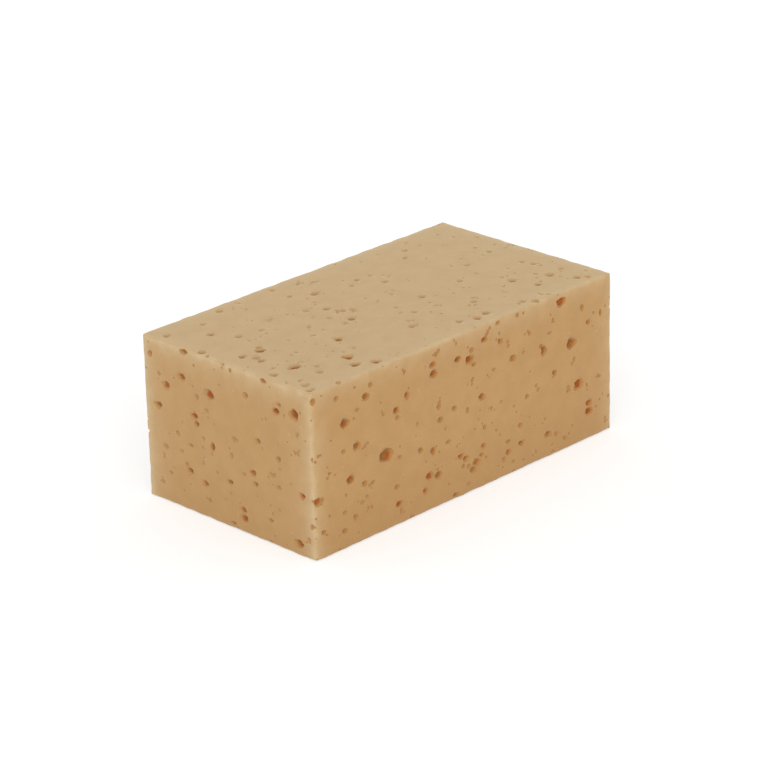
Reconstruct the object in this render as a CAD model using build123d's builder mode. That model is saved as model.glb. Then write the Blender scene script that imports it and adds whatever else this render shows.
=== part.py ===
"""A grout sponge: one block of flexible open-cell foam, sawn square, with burst cells open on every face.

X runs along the length, Y across the width and Z up, with the origin under the middle of the base.
"""

import os
from math import cos, sin, tau
from random import Random

from build123d import *

# The block, and how far its sawn edges are rubbed round
length = 180.0
width = 100.0
height = 73.0
edge_radius = 1.0

# The burst cells: the widest mouth, and how a hollow runs in from its mouth
widest_pore = 7.7
pore_depth_share = 0.6
pore_taper = 15.0
overrun = 0.2

# An uneven mouth: its corners in a small and in a large cell, and how far they stray from an oval
small_pore_corners = 6
large_pore_corners = 8
large_pore_share = 0.45
stray_share = 0.12

# The mix of pores spread by chance over the faces that are turned away
fine_pore_share = 0.26
usual_pore_share = 0.3
coarse_pore_share = 0.68
flattest_pore_share = 0.65
back_pore_count = 72
far_end_pore_count = 38
base_pore_count = 54

# Pores as they lie on the long front face, the near end and the top. Each row gives the place along and up
# the face, as shares of its sides, then the width and height of the mouth, as shares of the widest pore.
front_pore_shares = [
    (0.004, 0.950, 0.43, 0.43), (0.077, 0.915, 0.29, 0.24), (0.184, 0.915, 0.27, 0.27),
    (0.168, 0.856, 0.46, 0.39), (0.140, 0.800, 0.27, 0.21), (0.101, 0.752, 0.54, 0.40),
    (0.135, 0.588, 0.46, 0.37), (0.094, 0.587, 0.29, 0.23), (0.226, 0.458, 1.00, 0.63),
    (0.113, 0.404, 0.49, 0.37), (0.010, 0.355, 0.49, 0.37), (0.157, 0.343, 0.33, 0.26),
    (0.148, 0.238, 0.29, 0.20), (0.163, 0.262, 0.26, 0.20), (0.092, 0.222, 0.30, 0.23),
    (0.125, 0.168, 0.34, 0.27), (0.026, 0.161, 0.31, 0.26), (0.091, 0.112, 0.37, 0.30),
    (0.263, 0.700, 0.43, 0.37), (0.266, 0.655, 0.30, 0.26), (0.260, 0.238, 0.33, 0.27),
    (0.265, 0.130, 0.44, 0.34), (0.271, 0.412, 0.31, 0.21), (0.396, 0.938, 0.29, 0.26),
    (0.384, 0.883, 0.39, 0.30), (0.386, 0.825, 0.49, 0.36), (0.466, 0.851, 0.46, 0.31),
    (0.511, 0.872, 0.30, 0.26), (0.505, 0.824, 0.51, 0.39), (0.298, 0.762, 0.26, 0.40),
    (0.401, 0.615, 0.29, 0.30), (0.451, 0.563, 0.34, 0.26), (0.404, 0.532, 0.40, 0.29),
    (0.495, 0.518, 0.21, 0.31), (0.338, 0.398, 0.37, 0.31), (0.378, 0.360, 0.34, 0.46),
    (0.430, 0.376, 0.33, 0.20), (0.366, 0.214, 0.51, 0.37), (0.395, 0.200, 0.51, 0.34),
    (0.487, 0.228, 0.41, 0.29), (0.471, 0.252, 0.37, 0.27), (0.352, 0.135, 0.31, 0.31),
    (0.495, 0.064, 0.27, 0.20), (0.452, 0.028, 0.40, 0.23), (0.555, 0.905, 0.40, 0.29),
    (0.608, 0.857, 0.34, 0.31), (0.601, 0.972, 0.29, 0.21), (0.651, 0.718, 0.41, 0.33),
    (0.585, 0.700, 0.27, 0.17), (0.545, 0.563, 0.41, 0.34), (0.552, 0.367, 0.27, 0.26),
    (0.548, 0.255, 0.34, 0.30), (0.523, 0.172, 0.51, 0.34), (0.511, 0.138, 0.49, 0.33),
    (0.540, 0.205, 0.34, 0.20), (0.674, 0.282, 0.36, 0.23), (0.632, 0.215, 0.33, 0.21),
    (0.633, 0.147, 0.37, 0.31), (0.616, 0.112, 0.21, 0.29), (0.678, 0.167, 0.37, 0.27),
    (0.649, 0.073, 0.27, 0.17), (0.758, 0.685, 0.40, 0.51), (0.818, 0.943, 0.66, 0.43),
    (0.778, 0.780, 0.30, 0.17), (0.856, 0.657, 0.66, 0.49), (0.894, 0.853, 0.24, 0.36),
    (0.916, 0.748, 0.30, 0.26), (0.960, 0.775, 0.20, 0.37), (0.796, 0.517, 0.37, 0.29),
    (0.882, 0.378, 0.66, 0.49), (0.845, 0.368, 0.31, 0.17), (0.919, 0.232, 0.46, 0.34),
    (0.918, 0.177, 0.46, 0.37), (0.772, 0.150, 0.50, 0.31), (0.801, 0.128, 0.29, 0.23),
    (0.832, 0.075, 0.27, 0.26), (0.788, 0.025, 0.27, 0.17),
]
near_end_pore_shares = [
    (0.255, 0.977, 0.51, 0.26), (0.044, 0.893, 0.31, 0.31), (0.234, 0.820, 0.60, 0.36),
    (0.135, 0.733, 0.47, 0.40), (0.324, 0.730, 0.29, 0.29), (0.399, 0.773, 0.69, 0.46),
    (0.304, 0.607, 0.54, 0.34), (0.316, 0.560, 0.37, 0.31), (0.083, 0.593, 0.49, 0.31),
    (0.407, 0.457, 0.33, 0.53), (0.273, 0.417, 0.40, 0.20), (0.216, 0.357, 0.29, 0.20),
    (0.117, 0.350, 0.37, 0.26), (0.241, 0.288, 0.27, 0.27), (0.263, 0.253, 0.46, 0.30),
    (0.350, 0.213, 0.43, 0.33), (0.372, 0.115, 0.36, 0.24), (0.723, 0.977, 0.43, 0.23),
    (0.619, 0.853, 0.37, 0.27), (0.813, 0.870, 0.37, 0.24), (0.794, 0.825, 0.49, 0.34),
    (0.896, 0.843, 0.66, 0.51), (0.682, 0.603, 0.43, 0.29), (0.797, 0.537, 0.31, 0.34),
    (0.520, 0.450, 0.23, 0.31), (0.643, 0.393, 0.46, 0.29), (0.590, 0.367, 0.29, 0.20),
    (0.658, 0.333, 0.40, 0.29), (0.794, 0.367, 0.40, 0.20), (0.930, 0.370, 0.40, 0.33),
    (0.502, 0.283, 0.43, 0.31), (0.577, 0.140, 0.46, 0.34), (0.580, 0.090, 0.69, 0.40),
    (0.740, 0.147, 0.36, 0.23), (0.904, 0.073, 0.66, 0.43), (0.514, 0.033, 0.43, 0.21),
    (0.730, 0.015, 0.31, 0.16), (0.995, 0.610, 0.29, 0.29),
]
top_pore_shares = [
    (0.028, 0.900, 0.37, 0.34), (0.213, 0.937, 0.36, 0.31), (0.130, 0.880, 0.29, 0.27),
    (0.098, 0.770, 0.39, 0.36), (0.013, 0.657, 0.37, 0.36), (0.132, 0.667, 0.36, 0.31),
    (0.193, 0.647, 0.27, 0.26), (0.056, 0.497, 0.40, 0.36), (0.107, 0.490, 0.53, 0.47),
    (0.117, 0.520, 0.33, 0.29), (0.070, 0.445, 0.36, 0.33), (0.066, 0.405, 0.34, 0.36),
    (0.027, 0.257, 0.43, 0.39), (0.091, 0.257, 0.56, 0.50), (0.125, 0.195, 0.27, 0.27),
    (0.105, 0.143, 0.37, 0.34), (0.030, 0.085, 0.34, 0.36), (0.015, 0.035, 0.31, 0.33),
    (0.091, 0.010, 0.34, 0.31), (0.209, 0.170, 0.61, 0.57), (0.188, 0.093, 0.46, 0.44),
    (0.231, 0.053, 0.51, 0.44), (0.270, 0.337, 0.53, 0.47), (0.350, 0.535, 0.31, 0.29),
    (0.345, 0.667, 0.27, 0.26), (0.387, 0.950, 0.29, 0.27), (0.489, 0.888, 0.27, 0.27),
    (0.437, 0.780, 0.41, 0.37), (0.386, 0.840, 0.29, 0.29), (0.567, 0.765, 0.31, 0.30),
    (0.387, 0.617, 0.40, 0.36), (0.403, 0.552, 0.30, 0.29), (0.423, 0.532, 0.31, 0.30),
    (0.382, 0.460, 0.47, 0.43), (0.604, 0.657, 0.36, 0.31), (0.589, 0.415, 0.37, 0.36),
    (0.506, 0.315, 0.27, 0.27), (0.438, 0.210, 0.36, 0.33), (0.644, 0.208, 0.36, 0.31),
    (0.530, 0.100, 0.36, 0.33), (0.573, 0.070, 0.43, 0.39), (0.610, 0.083, 0.43, 0.40),
    (0.751, 0.797, 0.29, 0.27), (0.788, 0.860, 0.30, 0.26), (0.916, 0.573, 0.29, 0.29),
    (0.812, 0.528, 0.29, 0.27), (0.722, 0.420, 0.31, 0.31), (0.914, 0.375, 0.29, 0.26),
    (0.922, 0.325, 0.29, 0.29), (0.804, 0.255, 0.43, 0.39), (0.891, 0.180, 0.47, 0.43),
    (0.826, 0.140, 0.43, 0.40), (0.922, 0.070, 0.41, 0.37), (0.720, 0.055, 0.31, 0.31),
    (0.744, 0.018, 0.37, 0.33),
]


def scattered_pore_shares(count, seed):
    """Rows like those above for a face with its pores spread by chance."""
    draw = Random(seed)
    pore_shares = []
    for _ in range(count):
        wide_share = draw.triangular(fine_pore_share, coarse_pore_share, usual_pore_share)
        tall_share = wide_share * draw.uniform(flattest_pore_share, 1)
        pore_shares.append((draw.random(), draw.random(), wide_share, tall_share))
    return pore_shares


def burst_cells(face, across, up, pore_shares, seed):
    """The hollows in one face: each has an uneven many-cornered mouth and narrows to a smaller floor."""
    draw = Random(seed)
    cells = []
    for across_share, up_share, wide_share, tall_share in pore_shares:
        wide = wide_share * widest_pore
        tall = tall_share * widest_pore
        depth = pore_depth_share * min(wide, tall)
        corner_count = large_pore_corners if wide_share > large_pore_share else small_pore_corners
        first_turn = draw.random()
        corners = []
        for corner in range(corner_count):
            turn = tau * (corner + first_turn) / corner_count
            reach = draw.uniform(1 - stray_share, 1 + stray_share)
            corners.append((reach * wide / 2 * cos(turn), reach * tall / 2 * sin(turn)))
        with BuildPart() as cell:
            with BuildSketch():
                Polygon(*corners, align=None)
            extrude(amount=depth + overrun, taper=pore_taper)
        mouth = face.location * Pos(across * across_share, up * up_share, overrun) * Rot(X=180)
        cells.append(cell.part.moved(mouth))
    return cells


# Each face starts at the corner that its shares count from, and looks out of the block
front = Plane((-length / 2, -width / 2, 0), x_dir=(1, 0, 0), z_dir=(0, -1, 0))
near_end = Plane((-length / 2, width / 2, 0), x_dir=(0, -1, 0), z_dir=(-1, 0, 0))
top = Plane((-length / 2, -width / 2, height), x_dir=(1, 0, 0), z_dir=(0, 0, 1))
back = Plane((length / 2, width / 2, 0), x_dir=(-1, 0, 0), z_dir=(0, 1, 0))
far_end = Plane((length / 2, -width / 2, 0), x_dir=(0, 1, 0), z_dir=(1, 0, 0))
base = Plane((-length / 2, width / 2, 0), x_dir=(1, 0, 0), z_dir=(0, 0, -1))

hollows = burst_cells(front, length, height, front_pore_shares, seed=1)
hollows += burst_cells(near_end, width, height, near_end_pore_shares, seed=2)
hollows += burst_cells(top, length, width, top_pore_shares, seed=3)
hollows += burst_cells(back, length, height, scattered_pore_shares(back_pore_count, seed=4), seed=4)
hollows += burst_cells(far_end, width, height, scattered_pore_shares(far_end_pore_count, seed=5), seed=5)
hollows += burst_cells(base, length, width, scattered_pore_shares(base_pore_count, seed=6), seed=6)

# The foam block, with every hollow taken out at once
with BuildPart() as sponge:
    Box(length, width, height, align=(Align.CENTER, Align.CENTER, Align.MIN))
    fillet(sponge.edges(), radius=edge_radius)
    add(hollows, mode=Mode.SUBTRACT)

os.makedirs("parts", exist_ok=True)
sponge.part.label = "sponge"
export_step(sponge.part, "parts/sponge.step")
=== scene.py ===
from math import exp, radians, tan, tau
from random import Random

import bmesh
import bpy
from mathutils import Matrix, Quaternion, Vector, noise


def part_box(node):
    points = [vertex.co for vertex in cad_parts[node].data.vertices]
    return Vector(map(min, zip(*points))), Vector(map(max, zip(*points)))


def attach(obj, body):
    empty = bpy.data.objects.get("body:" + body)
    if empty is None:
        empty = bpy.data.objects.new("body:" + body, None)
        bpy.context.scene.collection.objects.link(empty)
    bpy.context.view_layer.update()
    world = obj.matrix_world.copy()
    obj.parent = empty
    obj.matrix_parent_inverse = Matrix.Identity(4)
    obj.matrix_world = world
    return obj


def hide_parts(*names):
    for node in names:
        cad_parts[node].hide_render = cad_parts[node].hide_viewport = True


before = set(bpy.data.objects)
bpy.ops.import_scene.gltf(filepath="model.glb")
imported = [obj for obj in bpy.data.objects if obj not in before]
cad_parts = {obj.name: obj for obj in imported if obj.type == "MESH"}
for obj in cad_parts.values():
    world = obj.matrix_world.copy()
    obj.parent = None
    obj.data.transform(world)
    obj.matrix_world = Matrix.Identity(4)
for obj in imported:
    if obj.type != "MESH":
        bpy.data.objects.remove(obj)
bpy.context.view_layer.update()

# The foam block. It is sawn square from a large bun of flexible open-cell foam, so its faces are
# flat but never quite true, and its edges are dulled and nibbled by the blade and by handling.
# Nothing covers it, and nothing is fixed to it.
low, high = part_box("sponge")
size = high - low
middle = (low + high) / 2
edge_radius = 0.0007
edge_segments = 2
edge_strip = 0.0011
saw_pitch = 0.0021
swell_spacing = 0.03
swell_depth = 0.00012
nibble_spacing = 0.004
nibble_depth = 0.0007
nibble_reach = 0.0015


def sawn_away(point):
    """How far the surface lies inside the true block: a slow swell, and nibbles along the edges."""
    under = sorted(max(min(point[axis] - low[axis], high[axis] - point[axis]), 0) for axis in range(3))
    swell = 0.5 + 0.5 * noise.noise(point / swell_spacing)
    nibble = 0.5 + 0.5 * noise.noise(point / nibble_spacing)
    return swell_depth * swell + nibble_depth * nibble * exp(-under[1] / nibble_reach)


block = bmesh.new()
bmesh.ops.create_cube(block, size=1.0,
                      matrix=Matrix.Translation(middle) @ Matrix.Diagonal((*size, 1.0)))
bmesh.ops.bevel(block, geom=block.edges[:], offset=edge_radius, affect="EDGES", segments=edge_segments,
                profile=0.5, material=-1)
for axis in range(3):
    strips = round(size[axis] / saw_pitch)
    across = Vector([float(axis == other) for other in range(3)])
    cuts = [size[axis] * strip / strips for strip in range(1, strips)]
    for cut in (edge_strip, *cuts, size[axis] - edge_strip):
        bmesh.ops.bisect_plane(block, geom=block.verts[:] + block.edges[:] + block.faces[:],
                               plane_co=low + across * cut, plane_no=across)
block.normal_update()
for vert in block.verts:
    vert.co -= vert.normal * sawn_away(vert.co)

block_mesh = bpy.data.meshes.new("foam_block")
block.to_mesh(block_mesh)
block.free()
sponge = bpy.data.objects.new("foam_block", block_mesh)
bpy.context.scene.collection.objects.link(sponge)


# The nodes that the two finishes of the foam are put together from
def foam_finish(name):
    """A new finish for foam, patterned by where a point lies on the block."""
    finish = bpy.data.materials.new(name)
    finish.use_nodes = True
    finish.node_tree.nodes.new("ShaderNodeTexCoord")
    return finish, finish.node_tree, finish.node_tree.nodes["Principled BSDF"].inputs


def put(socket, value):
    """Gives a socket a number or colour, or a link from another node."""
    if isinstance(value, bpy.types.NodeSocket):
        socket.id_data.links.new(value, socket)
    else:
        socket.default_value = value


def place_on(tree):
    """Where a point lies on the block, in metres."""
    return tree.nodes["Texture Coordinate"].outputs["Object"]


def maths(tree, operation, *terms):
    """The result of one Math node on its terms."""
    node = tree.nodes.new("ShaderNodeMath")
    node.operation = operation
    for socket, term in zip(node.inputs, terms):
        put(socket, term)
    return node.outputs["Value"]


def ramp(tree, value, start, end, first=0.0, last=1.0):
    """A smooth step from first to last as the value goes from start to end."""
    node = tree.nodes.new("ShaderNodeMapRange")
    node.interpolation_type = "SMOOTHSTEP"
    for name, term in (("Value", value), ("From Min", start), ("From Max", end), ("To Min", first),
                       ("To Max", last)):
        put(node.inputs[name], term)
    return node.outputs["Result"]


def blended(tree, share, first, second):
    """One colour going over into another."""
    node = tree.nodes.new("ShaderNodeMix")
    node.data_type = "RGBA"
    put(node.inputs["Factor"], share)
    put(node.inputs["A"], first)
    put(node.inputs["B"], second)
    return node.outputs["Result"]


def cloudy(tree, spacing, detail):
    """Soft noise with blotches of about this size, from 0 to 1."""
    node = tree.nodes.new("ShaderNodeTexNoise")
    put(node.inputs["Vector"], place_on(tree))
    node.inputs["Scale"].default_value = 1 / spacing
    node.inputs["Detail"].default_value = detail
    return node.outputs["Fac"]


def from_cell_middle(tree, spacing):
    """Small rounded cells of about this size: 0 in the middle of each, about a half at its walls."""
    node = tree.nodes.new("ShaderNodeTexVoronoi")
    put(node.inputs["Vector"], place_on(tree))
    node.inputs["Scale"].default_value = 1 / spacing
    return node.outputs["Distance"]


def inside_of_faces(tree):
    """How far a point lies in from the nearer end, the nearer long side, the base and the top."""
    split = tree.nodes.new("ShaderNodeSeparateXYZ")
    put(split.inputs["Vector"], place_on(tree))
    from_end, from_side = [
        maths(tree, "SUBTRACT", size[axis] / 2,
              maths(tree, "ABSOLUTE", maths(tree, "SUBTRACT", split.outputs[axis], middle[axis])))
        for axis in range(2)]
    from_base = maths(tree, "SUBTRACT", split.outputs["Z"], low.z)
    from_top = maths(tree, "SUBTRACT", high.z, split.outputs["Z"])
    return from_end, from_side, from_base, from_top


# The sawn faces are tan and quite matt, with a fuzz of cut cell walls that looks pale at a slant. The
# upper face is painted paler, and the ends a little: painted sheen. The sides are painted darker
# towards the base: painted shade. The edges are painted pale: painted light that the thin foam
# scatters and its fuzz sheens. A pair of values says where a change starts and where it ends.
tan_colour = (0.540, 0.292, 0.100, 1.0)
light_tan_colour = (0.550, 0.305, 0.112, 1.0)
painted_shade_colour = (0.500, 0.267, 0.090, 1.0)
painted_sheen_colour = (0.553, 0.345, 0.148, 1.0)
edge_light_colour = (0.695, 0.530, 0.310, 1.0)
grain_colour = (0.36, 0.165, 0.045, 1.0)
fleck_colour = (0.72, 0.52, 0.28, 1.0)
fuzz_colour = (1.0, 0.93, 0.70, 1.0)
cloud_contrast = (0.3, 0.7)
blotch_size = 0.006
mottle_size = 0.008
mottle_share = 0.14
painted_shade_reach = 0.035
painted_sheen_skin = (0.0002, 0.001)
painted_sheen_share_of_ends = 0.2
edge_band = 0.0015
edge_reach = 0.0042
edge_patches = (0.75, 1.15)
edge_skin = (0.00015, 0.00045)
edge_share_of_sides = 0.5
edge_share_of_top = 0.35
bevel_reach = (0.0002, 0.001)
edge_share_of_bevel = 0.45
grain_size = 0.0008
grain_spread = (0.05, 0.4)
grain_share = 0.16
fleck_spacing = 0.007
fleck_spread = (0.03, 0.06)
fleck_share = 0.6

sawn_foam, tree, sockets = foam_finish("sawn_foam")
from_end, from_side, from_base, from_top = inside_of_faces(tree)
blotches = ramp(tree, cloudy(tree, blotch_size, detail=4.0), *cloud_contrast)
surface = blended(tree, blotches, tan_colour, light_tan_colour)
# Painted shade: the sides darken towards the base.
surface = blended(tree, ramp(tree, from_base, 0.0, painted_shade_reach, 1.0, 0.0), surface, painted_shade_colour)
# Painted sheen: the top is painted paler near its face, and the ends a little.
painted_sheen = maths(tree, "MAXIMUM", ramp(tree, from_top, *painted_sheen_skin, 1.0, 0.0),
               ramp(tree, from_end, *painted_sheen_skin, painted_sheen_share_of_ends, 0.0))
surface = blended(tree, painted_sheen, surface, painted_sheen_colour)
mottle = ramp(tree, cloudy(tree, mottle_size, detail=1.0), *cloud_contrast, mottle_share, 0.0)
surface = blended(tree, mottle, surface, grain_colour)

# Painted light along the edges: a pale band that stands for light scattered through the thin foam and
# sheen on its fuzz.
nearer = maths(tree, "MINIMUM", from_end, from_side)
further = maths(tree, "MAXIMUM", from_end, from_side)
from_edge = maths(tree, "MAXIMUM", nearer, maths(tree, "MINIMUM", further, from_top))
from_band = maths(tree, "MAXIMUM", from_edge, edge_band)
painted_edge_light = maths(tree, "EXPONENT", maths(tree, "DIVIDE", from_band, -edge_reach))
face_share = maths(tree, "MINIMUM", ramp(tree, from_side, *edge_skin, edge_share_of_sides, 1.0),
                   ramp(tree, from_top, *edge_skin, edge_share_of_top, 1.0))
bevel_share = ramp(tree, from_edge, *bevel_reach, edge_share_of_bevel, 1.0)
patches = ramp(tree, cloudy(tree, blotch_size, detail=2.0), *cloud_contrast, *edge_patches)
for share in (face_share, bevel_share, patches):
    painted_edge_light = maths(tree, "MULTIPLY", painted_edge_light, share)
surface = blended(tree, painted_edge_light, surface, edge_light_colour)

grain = from_cell_middle(tree, grain_size)
surface = blended(tree, ramp(tree, grain, *grain_spread, grain_share, 0.0), surface, grain_colour)
fleck = ramp(tree, from_cell_middle(tree, fleck_spacing), *fleck_spread, fleck_share, 0.0)
put(sockets["Base Color"], blended(tree, fleck, surface, fleck_colour))
sockets["Roughness"].default_value = 0.8
sockets["Specular IOR Level"].default_value = 0.4
sockets["Specular Tint"].default_value = fuzz_colour
sockets["Sheen Weight"].default_value = 0.6
sockets["Sheen Roughness"].default_value = 0.5
sockets["Sheen Tint"].default_value = fuzz_colour
bump = tree.nodes.new("ShaderNodeBump")
bump.inputs["Strength"].default_value = 0.3
bump.inputs["Distance"].default_value = 0.0002
put(bump.inputs["Height"], grain)
put(sockets["Normal"], bump.outputs["Normal"])

# The burst cells. Where the saw opened a gas bubble it left a rounded hollow with a ragged mouth and
# a smooth rust-brown skin, painted darker and redder deeper in, with dark windows: painted shade. The
# wide ones are where the model has its pockets, and finer ones and shallow dimples lie between them
# by chance. On the top and the ends their mouths are painted paler: painted sheen.
rim_colour = (0.46, 0.235, 0.075, 1.0)
ochre_colour = (0.40, 0.170, 0.036, 1.0)
rust_colour = (0.42, 0.115, 0.020, 1.0)
window_colour = (0.24, 0.070, 0.012, 1.0)
sheen_paled_cell_colour = (0.54, 0.365, 0.180, 1.0)
painted_shade_depth = (0.0003, 0.0013)
streak_size = 0.008
streak_edge = (0.45, 0.55)
window_spacing = 0.0012
window_spread = (0.15, 0.3)
window_share = 0.6
sheen_depth_on_top = (0.0003, 0.0017)
sheen_share_on_top = 0.8
sheen_depth_on_ends = (0.0003, 0.0015)
sheen_share_on_ends = 0.3

cell_skin, tree, sockets = foam_finish("cell_skin")
from_end, from_side, from_base, from_top = inside_of_faces(tree)
depth = maths(tree, "MINIMUM", maths(tree, "MINIMUM", from_end, from_side),
              maths(tree, "MINIMUM", from_base, from_top))
streaks = ramp(tree, cloudy(tree, streak_size, detail=1.0), *streak_edge)
lining = blended(tree, streaks, rust_colour, ochre_colour)
# Painted shade: darker spots stand for the windows into the cells beyond.
window = ramp(tree, from_cell_middle(tree, window_spacing), *window_spread, window_share, 0.0)
lining = blended(tree, window, lining, window_colour)
# Painted shade: deeper in a cell the skin goes darker and redder than at its rim.
lining = blended(tree, ramp(tree, depth, *painted_shade_depth), rim_colour, lining)
# Painted sheen: the mouths of cells on the top, and a little on the ends, are painted paler.
painted_sheen_in_cells = maths(tree, "MAXIMUM", ramp(tree, from_top, *sheen_depth_on_top, sheen_share_on_top, 0.0),
             ramp(tree, from_end, *sheen_depth_on_ends, sheen_share_on_ends, 0.0))
put(sockets["Base Color"], blended(tree, painted_sheen_in_cells, lining, sheen_paled_cell_colour))
sockets["Roughness"].default_value = 0.8
sockets["Specular IOR Level"].default_value = 0.2
sockets["Sheen Weight"].default_value = 0.4
sockets["Sheen Roughness"].default_value = 0.5
sockets["Sheen Tint"].default_value = fuzz_colour

finishes = [sawn_foam, cell_skin]
seed = 7
draw = Random(seed)
bubble_kinds = 9
bubble_rough = 0.4
bubble_lumps = 1.5
bubble_throat = 0.7
bubble_lip = 0.35
bubble_reach = 1 + bubble_rough
noise_span = 50


def lumpy_bubbles(subdivisions):
    """A few uneven balls of about unit radius, a little narrower under a mouth that is half way up."""
    bubbles = []
    for _ in range(bubble_kinds):
        ball = bmesh.new()
        bmesh.ops.create_icosphere(ball, subdivisions=subdivisions, radius=1.0)
        place = Vector([draw.uniform(-noise_span, noise_span) for _ in range(3)])
        for vert in ball.verts:
            up_the_lip = min(max(1 + vert.co.z / bubble_lip, 0), 1)
            vert.co.xy *= bubble_throat + (1 - bubble_throat) * up_the_lip ** 2
            vert.co *= 1 + bubble_rough * noise.noise(vert.co * bubble_lumps + place)
        for face in ball.faces:
            face.material_index = finishes.index(cell_skin)
        bubble = bpy.data.meshes.new("bubble")
        ball.to_mesh(bubble)
        ball.free()
        bubbles.append(bubble)
    return bubbles


wide_bubbles = lumpy_bubbles(subdivisions=3)
small_bubbles = lumpy_bubbles(subdivisions=2)
layers = []


def add_cell(bubbles, mouth, axis, half, raised=0.0):
    """A cell with its mouth at a point on a face square to one axis, and its half sizes along X, Y and Z.
    Raised out of the face, it leaves only a dimple. It joins the first layer of cutters in which it
    comes near no other, so that none cross in a layer."""
    outward = Vector()
    outward[axis] = 1 if mouth[axis] > middle[axis] else -1
    centre = mouth + outward * (raised - sawn_away(mouth))
    reach = bubble_reach * max(half)
    for cutters, cells in layers:
        if all((centre - other).length > reach + other_reach for other, other_reach in cells):
            break
    else:
        cutters, cells = bmesh.new(), []
        layers.append((cutters, cells))
    cells.append((centre, reach))
    turn = outward.to_track_quat("Z", "Y") @ Quaternion((0, 0, 1), draw.uniform(0, tau))
    bubble = draw.choice(bubbles).copy()
    bubble.transform(Matrix.Translation(centre) @ Matrix.Diagonal((*half, 1.0))
                     @ turn.to_matrix().to_4x4())
    cutters.from_mesh(bubble)
    bpy.data.meshes.remove(bubble)


def depth_of(point):
    """How far a point lies under the nearest face of the block."""
    return min(min(point[axis] - low[axis], high[axis] - point[axis]) for axis in range(3))


# The wide cells: each floor of a pocket in the model gives the place and size of one
pocket_slope = tan(radians(15.0))
weld_distance = 0.000001
shallowest_floor = 0.0003
square_to_a_face = 0.999
flat_within = radians(1.0)
mouth_fray_share = 0.5
most_fray = 0.0007
full_depth_from = 0.0024
full_depth_from_on_top = 0.0028
depth_shares = (0.85, 1.25)
fine_mesh_from = 0.0019
pockets = bmesh.new()
pockets.from_mesh(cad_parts["sponge"].data)
bmesh.ops.remove_doubles(pockets, verts=pockets.verts, dist=weld_distance)
not_floors = [face for face in pockets.faces if depth_of(face.calc_center_median()) < shallowest_floor
              or max(map(abs, face.normal)) < square_to_a_face]
bmesh.ops.delete(pockets, geom=not_floors, context="FACES")
bmesh.ops.dissolve_limit(pockets, angle_limit=flat_within, verts=pockets.verts[:],
                         edges=pockets.edges[:])
for floor in pockets.faces:
    axis = max(range(3), key=lambda other: abs(floor.normal[other]))
    mouth = floor.calc_center_bounds()
    depth = depth_of(mouth)
    half = Vector()
    for other in range(3):
        if other != axis:
            places = [vert.co[other] for vert in floor.verts]
            half[other] = (max(places) - min(places)) / 2 + depth * pocket_slope
            half[other] += min(half[other] * mouth_fray_share, most_fray)
    deep_from = full_depth_from_on_top if floor.normal.z > square_to_a_face else full_depth_from
    half[axis] = depth * min(max(half) / deep_from, 1) * draw.uniform(*depth_shares)
    mouth[axis] = high[axis] if floor.normal[axis] > 0 else low[axis]
    add_cell(wide_bubbles if max(half) > fine_mesh_from else small_bubbles, mouth, axis, half)
pockets.free()

# Pinholes and strings of shallow dimples are spread over all six faces by area. Their half widths are
# the least, the most and the usual one.
pinholes_per_square_metre = 5000
pinhole_half_widths = (0.0003, 0.0008, 0.0005)
pinhole_squash = (0.75, 1.0)
dimple_strings_per_square_metre = 5000
dimples_in_a_string = (1, 1, 2, 3)
dimple_step = 0.0022
dimple_half_widths = (0.0009, 0.0022, 0.0012)
dimple_squash = (0.65, 1.0)
dimple_height_share = 0.5
dimple_raise_shares = (0.25, 0.6)
for axis in range(3):
    area = size.x * size.y * size.z / size[axis]
    for face in (low[axis], high[axis]):
        for _ in range(round(area * pinholes_per_square_metre)):
            mouth = Vector([draw.uniform(low[other], high[other]) for other in range(3)])
            mouth[axis] = face
            wide = draw.triangular(*pinhole_half_widths)
            half = Vector([wide * draw.uniform(*pinhole_squash) for _ in range(3)])
            add_cell(small_bubbles, mouth, axis, half)
        for _ in range(round(area * dimple_strings_per_square_metre)):
            mouth = Vector([draw.uniform(low[other], high[other]) for other in range(3)])
            for _ in range(draw.choice(dimples_in_a_string)):
                mouth += Vector([draw.uniform(-dimple_step, dimple_step) for _ in range(3)])
                mouth[axis] = face
                wide = draw.triangular(*dimple_half_widths)
                half = Vector([wide * draw.uniform(*dimple_squash) for _ in range(3)])
                half[axis] = wide * dimple_height_share
                raised = half[axis] * draw.uniform(*dimple_raise_shares)
                add_cell(small_bubbles, mouth, axis, half, raised)

# The cells are cut out of the block one layer after another
for finish in finishes:
    sponge.data.materials.append(finish)
for cutters, _ in layers:
    cutter_mesh = bpy.data.meshes.new("burst_cells")
    cutters.to_mesh(cutter_mesh)
    cutters.free()
    for finish in finishes:
        cutter_mesh.materials.append(finish)
    cutter = bpy.data.objects.new("burst_cells", cutter_mesh)
    bpy.context.scene.collection.objects.link(cutter)
    opened = sponge.modifiers.new("burst_cells", "BOOLEAN")
    opened.operation = "DIFFERENCE"
    opened.solver = "MANIFOLD"
    opened.object = cutter
    sponge.data = bpy.data.meshes.new_from_object(
        sponge.evaluated_get(bpy.context.evaluated_depsgraph_get()))
    sponge.modifiers.clear()
    bpy.data.objects.remove(cutter)

# The cuts leave slivers along the mouths: an edge too short to see shrinks to a point if no hole opens
sliver_width = 0.00001
sharp_angle = radians(40.0)
shell = bmesh.new()
shell.from_mesh(sponge.data)
bmesh.ops.triangulate(shell, faces=shell.faces[:])


def around(vert):
    """The points that share an edge with this one."""
    return {edge.other_vert(vert) for edge in vert.link_edges}


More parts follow.
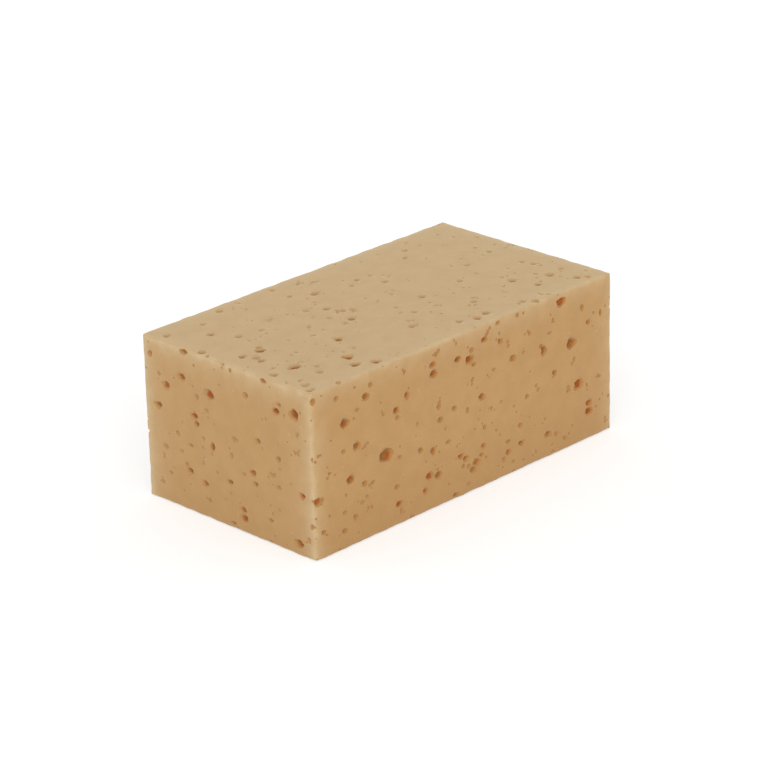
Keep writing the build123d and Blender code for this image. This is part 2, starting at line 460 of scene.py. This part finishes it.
def slivers_to_close():
    """Short edges that can shrink together: the ends of each share no neighbours but the points across
    from the edge, so the shell stays closed, and no two edges lie side by side."""
    closing = []
    busy = set()
    for edge in shell.edges:
        if edge.calc_length() < sliver_width:
            first, second = [around(vert) for vert in edge.verts]
            across = {vert for face in edge.link_faces for vert in face.verts}.difference(edge.verts)
            if first & second == across and busy.isdisjoint(first | second):
                closing.append(edge)
                busy |= first | second
    return closing


while closing := slivers_to_close():
    bmesh.ops.collapse(shell, edges=closing)
shell.to_mesh(sponge.data)
shell.free()
sponge.data.shade_smooth()
sponge.data.set_sharp_from_angle(angle=sharp_angle)

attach(sponge, "root")
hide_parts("sponge")

# The table that the block lies on is a wide sheet of plain white paper. It glows a little where the
# camera sees it, so that it looks white wherever no shadow falls.
white = (1.0, 1.0, 1.0, 1.0)
table_reach = 6.0
paper_colour = (0.7, 0.7, 0.7, 1.0)
paper_glow = 0.46


def seen_as_background(tree):
    """1 for what the camera sees, also by way of gloss or glass, and 0 for light on other things."""
    path = tree.nodes.new("ShaderNodeLightPath").outputs
    indirect = maths(tree, "MAXIMUM", path["Is Glossy Ray"], path["Is Transmission Ray"])
    return maths(tree, "MAXIMUM", path["Is Camera Ray"], indirect)


table = bmesh.new()
bmesh.ops.create_grid(table, x_segments=1, y_segments=1, size=table_reach)
table_mesh = bpy.data.meshes.new("table")
table.to_mesh(table_mesh)
table.free()
table_top = bpy.data.objects.new("table", table_mesh)
bpy.context.scene.collection.objects.link(table_top)

paper = bpy.data.materials.new("white_paper")
paper.use_nodes = True
tree = paper.node_tree
sockets = tree.nodes["Principled BSDF"].inputs
sockets["Base Color"].default_value = paper_colour
sockets["Roughness"].default_value = 1.0
sockets["Specular IOR Level"].default_value = 0.0
sockets["Emission Color"].default_value = white
put(sockets["Emission Strength"], maths(tree, "MULTIPLY", seen_as_background(tree), paper_glow))
table_mesh.materials.append(paper)

# The light is soft and even from all round, with one broad key light, low in front, near the camera.
# Behind the block the camera sees plain white, also by way of gloss and glass.
sky_strength = 0.70
key_strength = 1.35
key_spread = radians(50.0)
key_from = Vector((-0.66, -0.68, 0.35))
world = bpy.data.worlds.new("studio")
bpy.context.scene.world = world
world.use_nodes = True
tree = world.node_tree
sky = tree.nodes["Background"].inputs
sky["Color"].default_value = white
put(sky["Strength"], ramp(tree, seen_as_background(tree), 0.0, 1.0, sky_strength, 1.0))

key = bpy.data.lights.new("key", "SUN")
key.energy = key_strength
key.angle = key_spread
key_holder = bpy.data.objects.new("key", key)
key_holder.rotation_euler = (-key_from).to_track_quat("-Z", "Y").to_euler()
bpy.context.scene.collection.objects.link(key_holder)

# The camera stands where the photograph was taken from: off the near corner of the block, a little
# above it, with a long lens. Its place, turn and roll were fitted to the outline of the block.
aim = Vector((0.00105, -0.003, 0.0332))
camera_turn = radians(45.01)
camera_rise = radians(22.63)
camera_roll = radians(-1.51)
camera_distance = 1.3726
camera = bpy.data.cameras.new("camera")
camera.lens = 149.04
camera.sensor_width = 36.0
stand = bpy.data.objects.new("camera", camera)
look = Quaternion((0, 0, 1), -camera_turn) @ Quaternion((1, 0, 0), -camera_rise) @ Vector((0, 1, 0))
stand.location = aim - look * camera_distance
stand.rotation_mode = "QUATERNION"
stand.rotation_quaternion = look.to_track_quat("-Z", "Y") @ Quaternion((0, 0, 1), camera_roll)
bpy.context.scene.collection.objects.link(stand)
bpy.context.scene.camera = stand
bpy.context.scene.view_settings.view_transform = "Standard"
